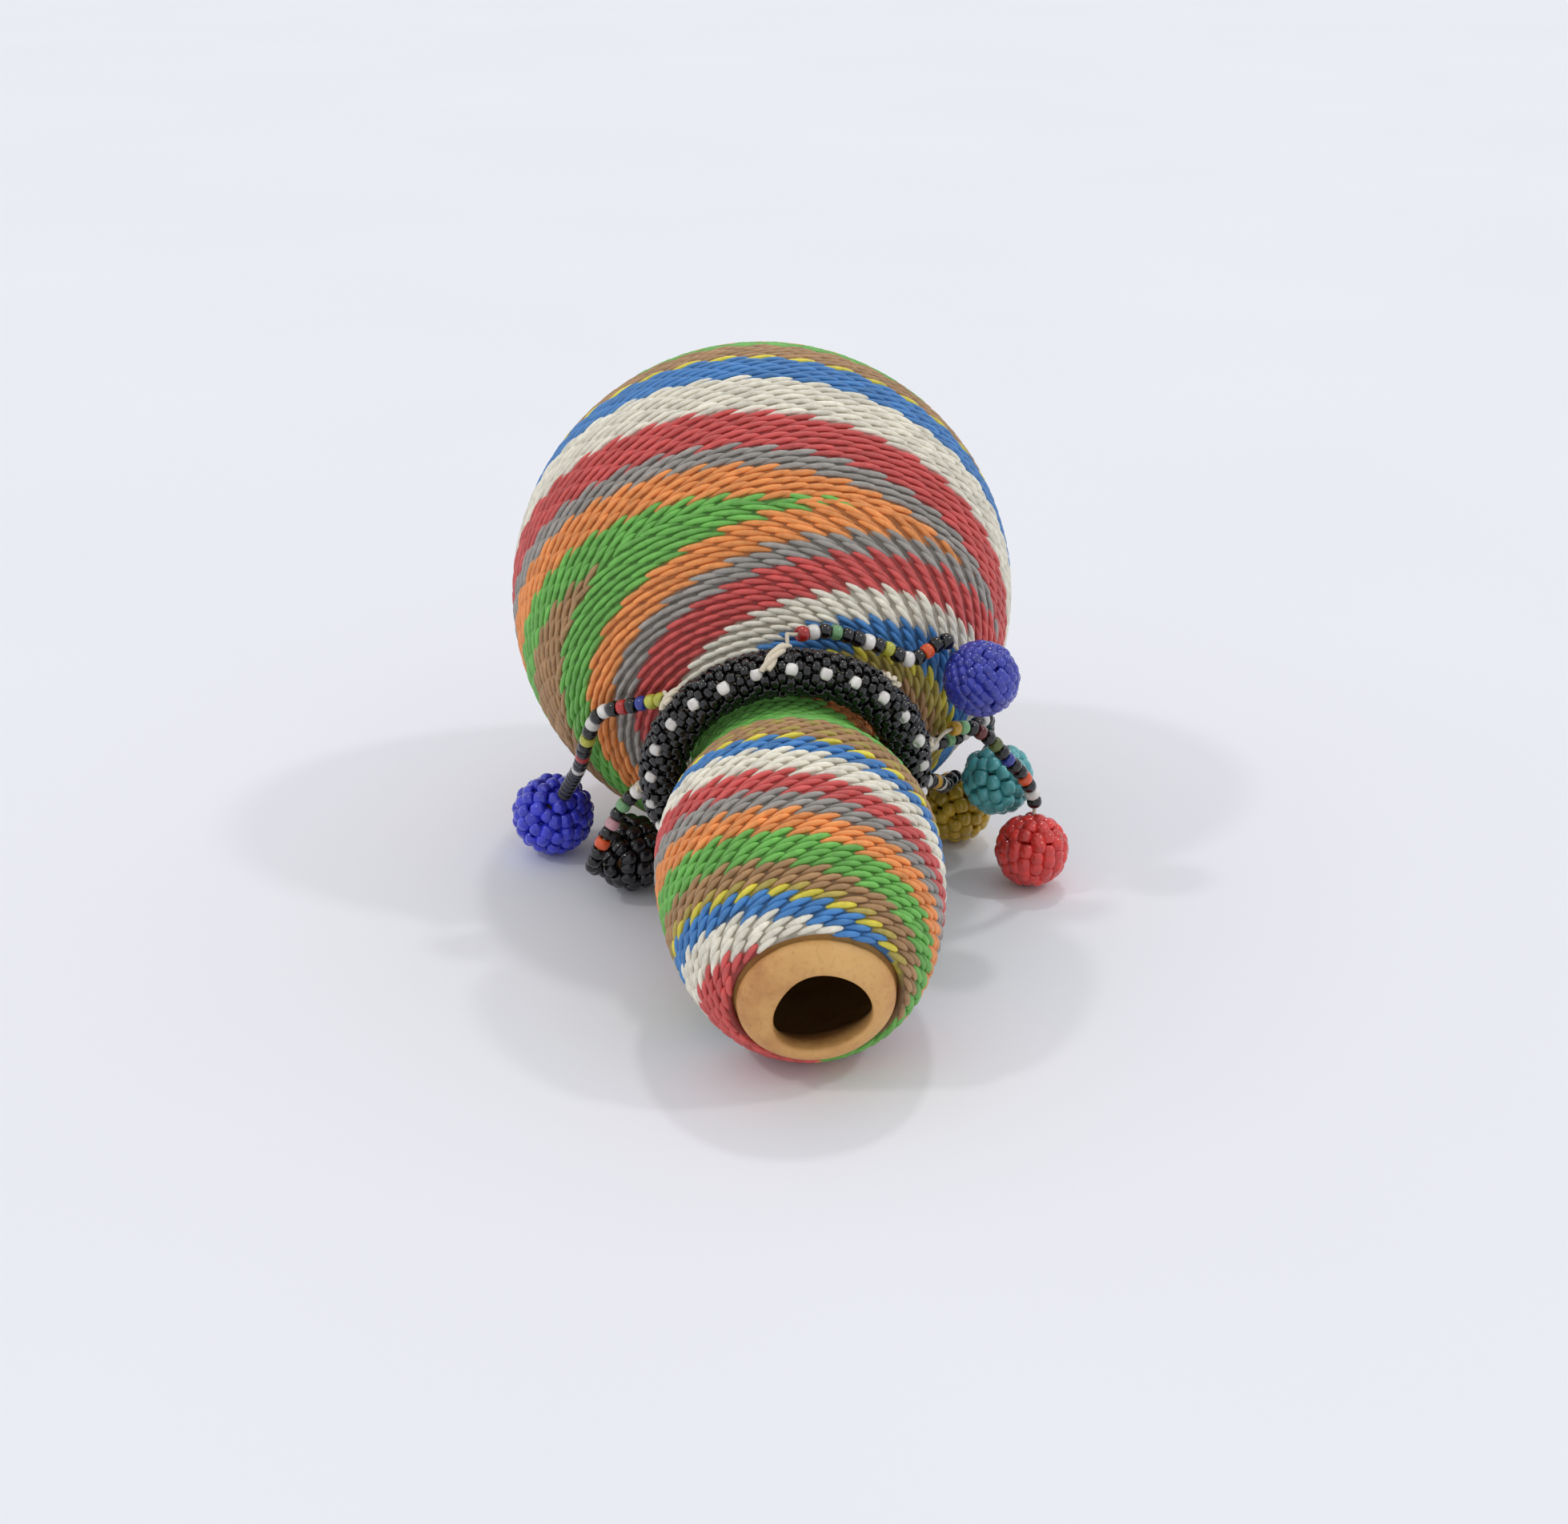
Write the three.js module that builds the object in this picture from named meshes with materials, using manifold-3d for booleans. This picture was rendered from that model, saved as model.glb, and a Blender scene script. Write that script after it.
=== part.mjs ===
// A gourd bottle covered in coiled wire weaving, with a beaded rope collar at
// its waist and six bead strands that end in beaded balls. Lengths in mm.
// The gourd lies on its side: +X across it, -Y the way its mouth points, +Z up.
import * as THREE from 'three'
import { mergeVertices } from 'three/addons/utils/BufferGeometryUtils.js'
import Module from 'manifold-3d'

const wasm = await Module()
wasm.setup()

// ---- driving sizes -------------------------------------------------------
const BOWL_R = 34.7            // outside of the weaving on the big bulb
const BOWL_ENDS_AT = 30        // axial place where the ball shape stops
const NECK_AT = 57.5           // axial place of the small bulb's widest ring
const NECK_R = 17.7
const NECK_BACK = 20.5         // half length of the small bulb's rear ellipse
const NECK_STARTS = 12         // that ellipse starts this far behind NECK_AT
const MOUTH_AT = 80.3          // the weaving stops here
const MOUTH_R = 10.07
const WAIST_HANDLES = [8.5, 7.5]
const TILT = THREE.MathUtils.degToRad(15.97)   // both bulbs touch the table
const FLAT_DEPTH = 0.35        // pressed flat where each bulb touches
const BOWL_Y = 23.1            // puts the middle of the object over the origin

const WEAVE = 1.4              // thickness of the woven cover
const GAP = 0.3                // between pieces that touch
const SKIN = WEAVE + GAP       // depth of the gourd's own skin under the weaving
const WALL = 2.2               // gourd wall
const LIP = [                  // rim of the mouth, (radius, axial), outside to inside
  [8.95, 79.3], [9.15, 79.85], [8.9, 80.7], [8.0, 81.6], [6.8, 82.2],
  [6.1, 82.2], [5.75, 81.9], [5.8, 80.4], [6.7, 78.6],
]
const COIL_R = 7               // start disc of the weaving, on the big bulb's end
const TURN_AT = 20             // axial place where the weaving changes slant
const AROUND = 36              // facets round the gourd

const COLLAR_AT = 38
const COLLAR_R = 15.6          // ring radius of the rope's middle
const ROPE_R = 3.0
const ROPE_BORE = 1.9
const CORD_R = 1.6
const KNOT_HALF = 9            // half the gap in the beadwork, degrees of ring
const KNOT_CLEAR = 1.2         // between the knot and the beadwork, degrees of ring
const KNOT_PROUD = 0.2         // the knot is this much fatter than the beadwork
const TIE_IN = 3.25
const TIE_OUT = 3.7
const TIE_HALF = 4             // half a lashing's width, degrees of ring
const TIES = { left: -57, lower_left: -104, top: 0, upper_right: 64, right: 98 }

const THREAD_R = 0.25
const BEAD_R = 1.05
const BEAD_JOIN_R = 0.75
const BEAD_BORE = 0.55
const BEAD_PITCH = 1.48
const BALL_WALL = 1.9
const BALL_HOLE = 0.75
const BALL_CLEAR = 0.45        // between the last seed bead and the ball
const THREAD_STOPS = 2.1       // the thread ends this far inside the ball's far side

// Strand routes from the collar into the ball, and each ball's centre and size.
const DANGLES = {
  blue: {
    ball: [-30.0, 14.3, 5.85], r: 5.8, bare: 1.8, colour: 0x2a4d9e,
    route: [[-15.1, -12.8, 34.3], [-15.1, -10.5, 32.5], [-18.8, -8.1, 30.8],
      [-23.2, -5.4, 28.6], [-25.0, -3.4, 24.0], [-25.9, 0.6, 19.2],
      [-27.0, 5.8, 14.8], [-28.2, 9.4, 11.1], [-29.2, 12.2, 8.1]],
  },
  black: {
    ball: [-19.6, 1.9, 5.35], r: 5.3, bare: 1.8, colour: 0x17171a,
    route: [[-17.8, -9.1, 20.5], [-16.7, -6.3, 19.7], [-20.4, -4.2, 15.2],
      [-22.4, -4.4, 11.8], [-24.2, -4.6, 8.2], [-24.7, -2.8, 5.5],
      [-21.7, -0.1, 5.4]],
  },
  purple: {
    ball: [25.6, -8.9, 33.2], r: 5.0, bare: 2.4, colour: 0x4b3f9a,
    route: [[0.0, -15.7, 42.6], [1.5, -13.3, 41.6], [5.4, -12.2, 41.5],
      [9.4, -11.6, 40.1], [13.1, -10.7, 38.4], [16.2, -10.4, 36.7],
      [21.2, -8.1, 38.1], [23.8, -8.6, 35.2]],
  },
  red: {
    ball: [34.6, -1.5, 5.15], r: 5.1, bare: 5, colour: 0xb0282c,
    route: [[18.5, -10.1, 23.0], [21.6, -6.6, 25.0], [25.2, -4.2, 24.4],
      [28.0, -3.4, 22.4], [30.6, -2.9, 19.2], [33.2, -1.6, 15.8],
      [34.9, -0.4, 11.8], [34.7, -1.0, 7.9]],
  },
  teal: {
    ball: [31.0, 6.1, 12.4], r: 5.1, bare: 5, colour: 0x1f7f86,
    route: [[18.4, -9.9, 22.2], [17.6, -7.0, 22.6], [23.9, -2.1, 22.4],
      [28.4, 2.6, 22.8], [29.5, 6.9, 18.9], [30.4, 6.4, 15.1]],
  },
  ochre: {
    ball: [26.6, 13.5, 5.15], r: 5.1, bare: 5, colour: 0xb98b2a,
    route: [[18.3, -9.6, 21.5], [15.1, -7.4, 19.4], [19.2, -2.6, 16.5],
      [21.9, 1.2, 14.5], [23.9, 7.4, 11.1], [25.8, 10.4, 11.0],
      [26.3, 12.2, 7.6]],
  },
}

// ---- shared helpers ------------------------------------------------------
// Lathe axis -> the lying gourd: +Y toward the mouth, +Z toward the table.
const lying = new THREE.Matrix4()
  .makeRotationX(Math.PI + TILT)
  .setPosition(0, BOWL_Y, BOWL_R - FLAT_DEPTH)

function material(name, colour, roughness) {
  const made = new THREE.MeshStandardMaterial({ color: colour, roughness, metalness: 0 })
  made.name = name
  return made
}

function piece(name, geometry, mat) {
  geometry.computeVertexNormals()
  const mesh = new THREE.Mesh(geometry, mat)
  mesh.name = name
  return mesh
}

function toSolid(geometry) {
  const bare = new THREE.BufferGeometry()
  bare.setAttribute('position', geometry.getAttribute('position'))
  if (geometry.index) bare.setIndex(geometry.index)
  const merged = mergeVertices(bare, 1e-4)
  const index = []
  const from = merged.index.array
  for (let i = 0; i < from.length; i += 3) {
    const [a, b, c] = [from[i], from[i + 1], from[i + 2]]
    if (a !== b && b !== c && c !== a) index.push(a, b, c)
  }
  return new wasm.Manifold(new wasm.Mesh({
    numProp: 3,
    vertProperties: new Float32Array(merged.getAttribute('position').array),
    triVerts: new Uint32Array(index),
  }))
}

function toGeometry(solid) {
  const mesh = solid.getMesh()
  const geometry = new THREE.BufferGeometry()
  geometry.setAttribute('position', new THREE.BufferAttribute(mesh.vertProperties, 3))
  geometry.setIndex(new THREE.BufferAttribute(mesh.triVerts, 1))
  return geometry.toNonIndexed()
}

// Solid of revolution on the gourd's axis, with the middle of a facet
// underneath, cut level with the table.
function onTable(profile) {
  const turned = new THREE.LatheGeometry(profile, AROUND, Math.PI / AROUND)
  turned.applyMatrix4(lying)
  const table = wasm.Manifold.cube([200, 200, 50], true).translate([0, 0, -25])
  return toGeometry(toSolid(turned).subtract(table))
}

// ---- the gourd's outline -------------------------------------------------
function bezier(a, b, c, d) {
  const v = (p) => new THREE.Vector2(p[0], p[1])
  return new THREE.CubicBezierCurve(v(a), v(b), v(c), v(d))
}

const bowlEnd = Math.asin(BOWL_ENDS_AT / BOWL_R)
const neckStart = -Math.asin(NECK_STARTS / NECK_BACK)
const bowlPoint = (a) => [BOWL_R * Math.cos(a), BOWL_R * Math.sin(a)]
const neckPoint = (a) => [NECK_R * Math.cos(a), NECK_AT + NECK_BACK * Math.sin(a)]

function waistCurve() {
  const from = bowlPoint(bowlEnd)
  const to = neckPoint(neckStart)
  const leave = new THREE.Vector2(-Math.sin(bowlEnd), Math.cos(bowlEnd))
    .multiplyScalar(WAIST_HANDLES[0])
  const arrive = new THREE.Vector2(
    -NECK_R * Math.sin(neckStart), NECK_BACK * Math.cos(neckStart))
    .setLength(WAIST_HANDLES[1])
  return bezier(from, [from[0] + leave.x, from[1] + leave.y],
    [to[0] - arrive.x, to[1] - arrive.y], to)
}

const shoulderCurve = bezier(
  [NECK_R, NECK_AT], [NECK_R, NECK_AT + 9.5], [14.9, 77], [MOUTH_R, MOUTH_AT])

// The outside of the weaving as (radius, axial) points, from the bottom of the
// big bulb to the mouth. Each stretch is [its curve, facets along it].
const bowlCurve = (t) => bowlPoint(THREE.MathUtils.lerp(-Math.PI / 2, bowlEnd, t))
const neckCurve = (t) => neckPoint(THREE.MathUtils.lerp(neckStart, 0, t))
const waist = waistCurve()
const STRETCHES = [
  [bowlCurve, 14],
  [(t) => waist.getPoint(t).toArray(), 10],
  [neckCurve, 4],
  [(t) => shoulderCurve.getPoint(t).toArray(), 8],
]
const FINE = 12                // outline points per facet

const fine = [{ s: 0, x: 0, y: -BOWL_R }]
const stations = []            // arc lengths where the facets meet
for (const [curve, facets] of STRETCHES) {
  for (let i = 1; i <= facets * FINE; i++) {
    const [x, y] = curve(i / (facets * FINE))
    const before = fine[fine.length - 1]
    const s = before.s + Math.hypot(x - before.x, y - before.y)
    fine.push({ s, x, y })
    if (i % FINE === 0) stations.push(s)
  }
}
const ARC = fine[fine.length - 1].s

// Point on the outline at arc length s, moved inward by `depth`.
function outlinePoint(s, depth) {
  const i = Math.min(Math.max(fine.findIndex((p) => p.s >= s), 1), fine.length - 1)
  const [a, b] = [fine[i - 1], fine[i]]
  const t = (s - a.s) / (b.s - a.s)
  const [before, after] = [fine[Math.max(i - 2, 0)], fine[Math.min(i + 1, fine.length - 1)]]
  const run = new THREE.Vector2(after.x - before.x, after.y - before.y).normalize()
  return new THREE.Vector2(
    THREE.MathUtils.lerp(a.x, b.x, t) - run.y * depth,
    THREE.MathUtils.lerp(a.y, b.y, t) + run.x * depth)
}

const arcAt = (axial) => fine.find((p) => p.y >= axial).s
const TURN_ARC = arcAt(TURN_AT)
const WAIST_ARC = arcAt(COLLAR_AT)
const CLOSEST = 0.8            // an end is not put nearer than this to a facet's edge

function wall(from, to, depth) {
  const inside = stations.filter((s) => s > from + CLOSEST && s < to - CLOSEST)
  return [from, ...inside, to].map((s) => outlinePoint(s, depth))
}

// ---- gourd and weaving ---------------------------------------------------
// The gourd is one growth. It is parted at the waist, under the collar, so that
// each half is an open bowl.
function gourdBowl() {
  const outer = wall(0, WAIST_ARC - GAP, SKIN)
  const inner = wall(0, WAIST_ARC - GAP, SKIN + WALL).reverse()
  outer[0].x = 0
  inner[inner.length - 1].x = 0
  return onTable([...outer, ...inner])
}

function gourdNeck() {
  const outer = wall(WAIST_ARC, ARC, SKIN)
  const inner = wall(WAIST_ARC, ARC, SKIN + WALL).reverse()
  const rim = LIP.map((p) => new THREE.Vector2(p[0], p[1]))
  return onTable([...outer, ...rim, ...inner, outer[0].clone()])
}

// A woven cover between two arc lengths, closed on itself.
function weave(from, to) {
  const outer = wall(from, to, 0)
  const inner = wall(from, to, WEAVE).reverse()
  return onTable([...outer, ...inner, outer[0].clone()])
}

function baseCoil() {
  const outer = wall(0, COIL_R, 0)
  const inner = wall(0, COIL_R, WEAVE).reverse()
  outer[0].x = 0
  inner[inner.length - 1].x = 0
  return onTable([...outer, ...inner])
}

// ---- sleeves swept along a curve -----------------------------------------
// outer and inner are lists of [step, radius]; a step counts along `frames`.
function sleeve(curve, steps, outer, inner, sides) {
  const frames = curve.computeFrenetFrames(steps, false)
  const rings = [...outer, ...[...inner].reverse()]
  const position = []
  for (const [step, radius] of rings) {
    const middle = curve.getPointAt(step / steps)
    for (let k = 0; k < sides; k++) {
      const turn = (k / sides) * 2 * Math.PI
      const p = middle.clone()
        .addScaledVector(frames.normals[step], radius * Math.cos(turn))
        .addScaledVector(frames.binormals[step], radius * Math.sin(turn))
      position.push(p.x, p.y, p.z)
    }
  }
  const index = []
  for (let i = 0; i < rings.length; i++) {
    const next = (i + 1) % rings.length
    for (let k = 0; k < sides; k++) {
      const [a, b] = [i * sides + k, i * sides + ((k + 1) % sides)]
      const [c, d] = [next * sides + k, next * sides + ((k + 1) % sides)]
      index.push(a, b, d, a, d, c)
    }
  }
  const geometry = new THREE.BufferGeometry()
  geometry.setAttribute('position', new THREE.Float32BufferAttribute(position, 3))
  geometry.setIndex(index)
  return geometry.toNonIndexed()
}

// ---- collar --------------------------------------------------------------
// Angles run round the gourd from its top (0) toward +X (90).
class RingPath extends THREE.Curve {
  constructor(from, to) {
    super()
    this.from = from
    this.to = to
  }

  getPoint(t) {
    const a = THREE.MathUtils.degToRad(THREE.MathUtils.lerp(this.from, this.to, t))
    return new THREE.Vector3(
      COLLAR_R * Math.sin(a), COLLAR_AT, -COLLAR_R * Math.cos(a)).applyMatrix4(lying)
  }
}

function ropeSleeve(from, to, outer, inner, steps, sides) {
  const every = Array.from({ length: steps + 1 }, (_, i) => i)
  return sleeve(new RingPath(from, to), steps, every.map((i) => [i, outer]),
    every.map((i) => [i, inner]), sides)
}

function collarBeadwork() {
  return ropeSleeve(-180 + KNOT_HALF, 180 - KNOT_HALF, ROPE_R, ROPE_BORE, 36, 12)
}

function collarCore() {
  const ring = new THREE.TorusGeometry(COLLAR_R, CORD_R, 8, 36)
  ring.rotateX(Math.PI / 2)
  ring.translate(0, COLLAR_AT, 0)
  return ring.applyMatrix4(lying)
}

function collarKnot() {
  return ropeSleeve(180 - KNOT_HALF + KNOT_CLEAR, 180 + KNOT_HALF - KNOT_CLEAR,
    ROPE_R + KNOT_PROUD, ROPE_BORE, 4, 12)
}

function tie(angle) {
  return ropeSleeve(angle - TIE_HALF, angle + TIE_HALF, TIE_OUT, TIE_IN, 2, 12)
}

// ---- dangles -------------------------------------------------------------
function dangleParts(spec) {
  const ball = new THREE.Vector3(...spec.ball)
  const entry = new THREE.Vector3(...spec.route[spec.route.length - 1])
  const axis = entry.clone().sub(ball).normalize()
  const tail = [0, -(spec.r - THREAD_STOPS)].map((d) => ball.clone().addScaledVector(axis, d))
  const route = spec.route.map((p) => new THREE.Vector3(...p))
  const curve = new THREE.CatmullRomCurve3([...route, ...tail], false, 'centripetal')
  curve.arcLengthDivisions = 600
  return { ball, axis, curve, length: curve.getLength() }
}

function thread(curve, length) {
  const round = new THREE.Shape()
  round.absarc(0, 0, THREAD_R, 0, 2 * Math.PI)
  return new THREE.ExtrudeGeometry(round, {
    steps: Math.round(length / BEAD_PITCH),
    curveSegments: 4,
    extrudePath: curve,
    bevelEnabled: false,
  })
}

// Seed beads pushed together along the thread, from the tie to the ball.
function beadString(curve, length, spec, ball) {
  const steps = Math.round(length / BEAD_PITCH) * 2
  const first = Math.ceil(((spec.bare / length) * steps) / 2) * 2
  let last = steps
  while (curve.getPointAt(last / steps).distanceTo(ball) < spec.r + BALL_CLEAR) last -= 2
  const outer = [[first, BEAD_JOIN_R]]
  for (let step = first; step < last; step += 2) {
    outer.push([step + 1, BEAD_R], [step + 2, BEAD_JOIN_R])
  }
  const inner = outer.filter(([step]) => step % 2 === 0).map(([step]) => [step, BEAD_BORE])
  return sleeve(curve, steps, outer, inner, 8)
}

function alongBall(geometry, ball, axis) {
  const up = new THREE.Vector3(0, 1, 0)
  const turn = new THREE.Quaternion().setFromUnitVectors(up, axis)
  return geometry.applyMatrix4(new THREE.Matrix4().compose(
    ball, turn, new THREE.Vector3(1, 1, 1)))
}

// Half circle of points from the bottom up to where `hole` opens.
function arcUp(radius, hole, count) {
  const top = Math.acos(hole / radius)
  return Array.from({ length: count + 1 }, (_, i) => {
    const a = THREE.MathUtils.lerp(-Math.PI / 2, top, i / count)
    return new THREE.Vector2(Math.max(0, radius * Math.cos(a)), radius * Math.sin(a))
  })
}

function ballShell(r, ball, axis) {
  const outer = arcUp(r, BALL_HOLE, 9)
  const inner = arcUp(r - BALL_WALL, BALL_HOLE, 6).reverse()
  outer[0].x = 0
  inner[inner.length - 1].x = 0
  return alongBall(new THREE.LatheGeometry([...outer, ...inner], 14), ball, axis)
}

function ballCore(r, ball, axis) {
  const radius = r - BALL_WALL - GAP
  const end = Math.acos(BEAD_BORE / radius)
  const points = []
  for (let i = 0; i <= 6; i++) {
    const a = THREE.MathUtils.lerp(-end, end, i / 6)
    points.push(new THREE.Vector2(radius * Math.cos(a), radius * Math.sin(a)))
  }
  points.push(points[0].clone())
  return alongBall(new THREE.LatheGeometry(points, 12), ball, axis)
}

// ---- the assembly --------------------------------------------------------
const root = new THREE.Group()
root.name = 'wire_woven_gourd'

const wire = { roughness: 0.4 }
root.add(
  piece('gourd_bowl', gourdBowl(), material('gourd_skin', 0xd9a968, 0.6)),
  piece('gourd_neck', gourdNeck(), material('gourd_neck_skin', 0xd9a968, 0.6)),
  piece('base_coil', baseCoil(), material('coil_wire', 0x6a8f4a, wire.roughness)),
  piece('bowl_weave', weave(COIL_R + GAP, TURN_ARC),
    material('bowl_wire', 0x9a7b55, wire.roughness)),
  piece('shoulder_weave', weave(TURN_ARC + GAP, WAIST_ARC),
    material('shoulder_wire', 0xe08a3c, wire.roughness)),
  piece('neck_weave', weave(WAIST_ARC + GAP, ARC),
    material('neck_wire', 0xbf4a48, wire.roughness)),
  piece('collar_beadwork', collarBeadwork(), material('collar_beads', 0x1b1b1e, 0.35)),
  piece('collar_core', collarCore(), material('collar_cord', 0xcfc4ac, 0.9)),
  piece('collar_knot', collarKnot(), material('knot_thread', 0xcfc4ac, 0.9)),
)

for (const [side, angle] of Object.entries(TIES)) {
  root.add(piece(`tie_${side}`, tie(angle), material(`tie_${side}_thread`, 0xd8cbb0, 0.9)))
}

for (const [name, spec] of Object.entries(DANGLES)) {
  const { ball, axis, curve, length } = dangleParts(spec)
  root.add(
    piece(`${name}_thread`, thread(curve, length),
      material(`${name}_thread_cotton`, 0xd8cbb0, 0.9)),
    piece(`${name}_beads`, beadString(curve, length, spec, ball),
      material(`${name}_seed_beads`, 0x26262a, 0.3)),
    piece(`${name}_ball`, ballShell(spec.r, ball, axis),
      material(`${name}_ball_beads`, spec.colour, 0.3)),
    piece(`${name}_core`, ballCore(spec.r, ball, axis),
      material(`${name}_core_wood`, 0xb58a58, 0.7)),
  )
}

export default root
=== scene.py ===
"""A gourd bottle woven over with coloured wire, with a beaded rope collar and six bead strands.

Everything is in metres, in the frame of the CAD model: the gourd lies on its side, +X across
it, -Y the way its mouth points, +Z up. Lengths along the gourd's outline are millimetres.
"""
import math

import bpy
import numpy as np
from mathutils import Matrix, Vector


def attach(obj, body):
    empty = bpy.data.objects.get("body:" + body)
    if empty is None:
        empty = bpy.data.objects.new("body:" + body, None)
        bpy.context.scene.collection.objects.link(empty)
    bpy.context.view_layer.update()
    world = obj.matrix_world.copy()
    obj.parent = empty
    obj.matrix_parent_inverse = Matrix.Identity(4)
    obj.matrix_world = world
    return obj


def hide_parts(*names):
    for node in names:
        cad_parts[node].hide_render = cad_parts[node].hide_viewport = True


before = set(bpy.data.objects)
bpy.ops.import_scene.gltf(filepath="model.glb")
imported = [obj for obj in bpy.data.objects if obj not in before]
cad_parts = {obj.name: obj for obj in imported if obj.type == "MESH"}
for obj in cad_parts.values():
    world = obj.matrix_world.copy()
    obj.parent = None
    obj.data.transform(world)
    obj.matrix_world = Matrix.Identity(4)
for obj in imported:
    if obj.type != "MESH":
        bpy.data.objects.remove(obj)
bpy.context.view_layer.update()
random = np.random.default_rng(11)
MM = 0.001
OVER_FLOOR = 0.02 * MM     # nothing woven comes nearer to the floor than this


# ---- camera ------------------------------------------------------------------
def add_camera():
    data = bpy.data.cameras.new("camera")
    data.lens = 55.81
    data.sensor_width = 36.0
    data.sensor_fit = "HORIZONTAL"
    camera = bpy.data.objects.new("camera", data)
    camera.location = (-0.02491, -0.29565, 0.14649)
    camera.rotation_euler = (math.radians(66.7), 0.0, math.radians(-5.013))
    bpy.context.scene.collection.objects.link(camera)
    bpy.context.scene.camera = camera


add_camera()


# ---- materials ---------------------------------------------------------------
def linear(colour):
    """Scene colour of an sRGB colour given as three numbers from 0 to 255."""
    parts = [c / 255 for c in colour]
    return tuple(c / 12.92 if c <= 0.04045 else ((c + 0.055) / 1.055) ** 2.4 for c in parts)


def shaded(colour, factor):
    return tuple(min(1.0, c * factor) for c in colour)


class Surface:
    """A Principled material under construction, with short calls for its texture nodes."""

    def __init__(self, name, roughness):
        self.material = bpy.data.materials.new(name)
        self.material.use_nodes = True
        self.tree = self.material.node_tree
        self.shader = self.tree.nodes["Principled BSDF"]
        self.shader.inputs["Roughness"].default_value = roughness
        coordinates = self.tree.nodes.new("ShaderNodeTexCoord")
        self.position = coordinates.outputs["Object"]

    def noise(self, scale, detail=3.0, stretch=(1.0, 1.0, 1.0)):
        mapping = self.tree.nodes.new("ShaderNodeMapping")
        mapping.inputs["Scale"].default_value = stretch
        self.tree.links.new(self.position, mapping.inputs["Vector"])
        node = self.tree.nodes.new("ShaderNodeTexNoise")
        node.inputs["Scale"].default_value = scale
        node.inputs["Detail"].default_value = detail
        self.tree.links.new(mapping.outputs["Vector"], node.inputs["Vector"])
        return node.outputs["Fac"]

    def ramp(self, factor, stops):
        node = self.tree.nodes.new("ShaderNodeValToRGB")
        while len(node.color_ramp.elements) < len(stops):
            node.color_ramp.elements.new(0.5)
        for element, (place, colour) in zip(node.color_ramp.elements, stops):
            element.position = place
            element.color = (*colour, 1.0)
        self.tree.links.new(factor, node.inputs["Fac"])
        return node.outputs["Color"]

    def multiply(self, colour, other, amount=1.0):
        """A Mix node names its sockets alike for each type, so its colour ones go by number."""
        node = self.tree.nodes.new("ShaderNodeMix")
        node.data_type = "RGBA"
        node.blend_type = "MULTIPLY"
        node.inputs[0].default_value = amount
        self.tree.links.new(colour, node.inputs[6])
        self.tree.links.new(other, node.inputs[7])
        return node.outputs[2]

    def attribute(self, name):
        node = self.tree.nodes.new("ShaderNodeAttribute")
        node.attribute_name = name
        return node.outputs["Color"]

    def colour(self, output):
        self.tree.links.new(output, self.shader.inputs["Base Color"])

    def roughness(self, factor, low, high):
        node = self.tree.nodes.new("ShaderNodeMapRange")
        node.inputs["To Min"].default_value = low
        node.inputs["To Max"].default_value = high
        self.tree.links.new(factor, node.inputs["Value"])
        self.tree.links.new(node.outputs["Result"], self.shader.inputs["Roughness"])

    def bump(self, height, strength, distance):
        node = self.tree.nodes.new("ShaderNodeBump")
        node.inputs["Strength"].default_value = strength
        node.inputs["Distance"].default_value = distance
        self.tree.links.new(height, node.inputs["Height"])
        self.tree.links.new(node.outputs["Normal"], self.shader.inputs["Normal"])


def wire_finish(name, rgb):
    """Plastic-coated wire, a little worn and dusty, each stitch its own tone, with painted shade at its
    tucked tail.
    """
    base = linear(rgb)
    made = Surface(name, 0.42)
    wear = made.noise(900.0, 4.0)
    worn = made.ramp(wear, [(0.3, shaded(base, 0.8)), (0.55, base), (0.8, shaded(base, 1.16))])
    made.colour(made.multiply(worn, made.attribute("tone")))
    made.roughness(made.noise(1500.0), 0.34, 0.52)
    made.bump(made.noise(2600.0), 0.25, 0.00004)
    return made.material


def glass_finish(name, rgb):
    """Opaque glass seed beads, glossy, with faint streaks of the drawn cane."""
    base = linear(rgb)
    made = Surface(name, 0.16)
    streaks = made.noise(700.0, 3.0)
    cane = made.ramp(streaks, [(0.3, shaded(base, 0.72)), (0.6, base), (0.85, shaded(base, 1.2))])
    made.colour(made.multiply(cane, made.attribute("tone")))
    made.roughness(made.noise(1200.0), 0.1, 0.26)
    made.bump(made.noise(1800.0, 1.0), 0.12, 0.00005)
    made.shader.inputs["Coat Weight"].default_value = 0.35
    made.shader.inputs["Coat Roughness"].default_value = 0.08
    return made.material


def cotton_finish(name, rgb):
    base = linear(rgb)
    made = Surface(name, 0.9)
    fibres = made.noise(5200.0, 5.0, (1.0, 1.0, 2.5))
    made.colour(made.ramp(fibres, [(0.25, shaded(base, 0.62)), (0.5, base), (0.8, shaded(base, 1.15))]))
    made.bump(fibres, 0.6, 0.00012)
    made.shader.inputs["Sheen Weight"].default_value = 0.25
    return made.material


def gourd_finish():
    """Dried gourd skin: honey coloured, mottled, darker in its pores."""
    base = linear((214, 162, 96))
    made = Surface("gourd_skin_finish", 0.5)
    mottle = made.noise(170.0, 5.0)
    skin = made.ramp(mottle, [(0.28, linear((188, 128, 74))), (0.5, base), (0.75, linear((224, 176, 108)))])
    pores = made.ramp(made.noise(1500.0, 4.0), [(0.3, (0.8, 0.72, 0.62)), (0.48, (1.0, 1.0, 1.0))])
    worn = made.multiply(skin, pores, 0.55)
    # tone carries the painted shade deeper inside the hollow
    made.colour(made.multiply(worn, made.attribute("tone")))
    made.roughness(made.noise(420.0), 0.42, 0.62)
    made.bump(made.noise(900.0, 4.0), 0.3, 0.00008)
    return made.material


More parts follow.
